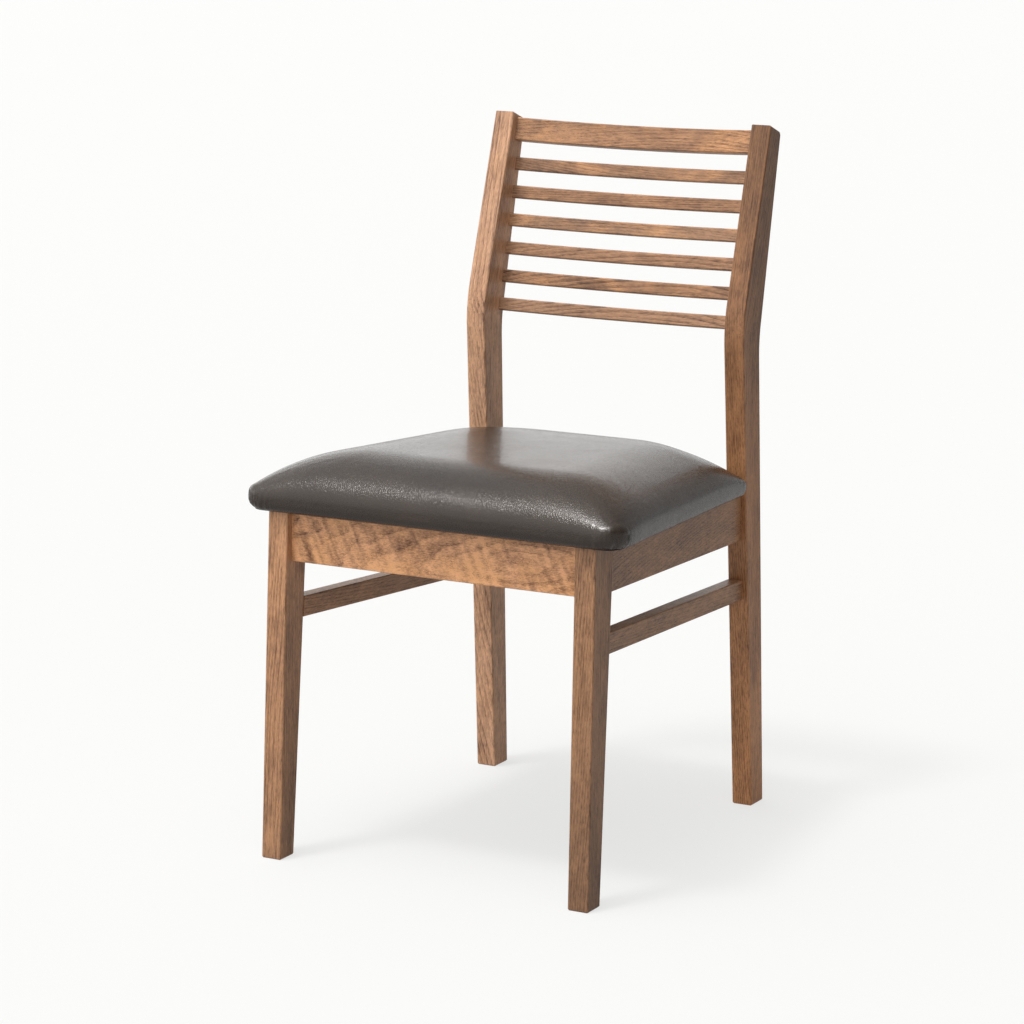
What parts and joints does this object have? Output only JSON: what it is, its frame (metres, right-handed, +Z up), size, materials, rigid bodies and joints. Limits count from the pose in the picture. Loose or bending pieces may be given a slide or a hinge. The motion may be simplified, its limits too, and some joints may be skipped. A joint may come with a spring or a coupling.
{
  "type": "dining chair",
  "caption": "Wooden dining chair with a raked back of bowed horizontal slats under a top rail, tapered legs, side stretchers and a padded dark faux-leather seat.",
  "frame": {"origin": "bottom centre of the whole chair's box, on the floor", "axes": "+Z up; the sitter faces -Y, so the back posts are on +Y and the sitter's left is +X"},
  "size_m": [0.503, 0.5612, 0.85],
  "materials": {
    "stained_ash": "open-pored ash stained walnut brown, semi-gloss lacquer",
    "raw_hardwood": "unfinished sawn hardwood",
    "plywood": "raw plywood with visible plies",
    "foam": "open-cell upholstery foam",
    "faux_leather": "fine pebble-grained dark brown faux leather, soft sheen",
    "dust_cloth": "black non-woven lining",
    "zinc_steel": "zinc-plated steel"
  },
  "bodies": {
    "root": {"front_leg_left": "stained_ash", "front_leg_right": "stained_ash", "back_post_left": "stained_ash", "back_post_right": "stained_ash", "side_apron_left": "stained_ash", "side_apron_right": "stained_ash", "side_stretcher_left": "stained_ash", "side_stretcher_right": "stained_ash", "front_apron": "stained_ash", "rear_apron": "stained_ash", "top_rail": "stained_ash", "back_slat_1": "stained_ash", "back_slat_2": "stained_ash", "back_slat_3": "stained_ash", "back_slat_4": "stained_ash", "back_slat_5": "stained_ash", "back_slat_6": "stained_ash", "corner_block_front_left": "raw_hardwood", "corner_block_front_right": "raw_hardwood", "corner_block_rear_left": "raw_hardwood", "corner_block_rear_right": "raw_hardwood", "apron_dowels": "raw_hardwood", "seat_board": "plywood", "seat_foam": "foam", "seat_cover": "faux_leather", "seat_dust_cover": "dust_cloth", "corner_block_screws": "zinc_steel", "seat_screws": "zinc_steel", "cover_staples": "zinc_steel"}
  },
  "joints": []
}
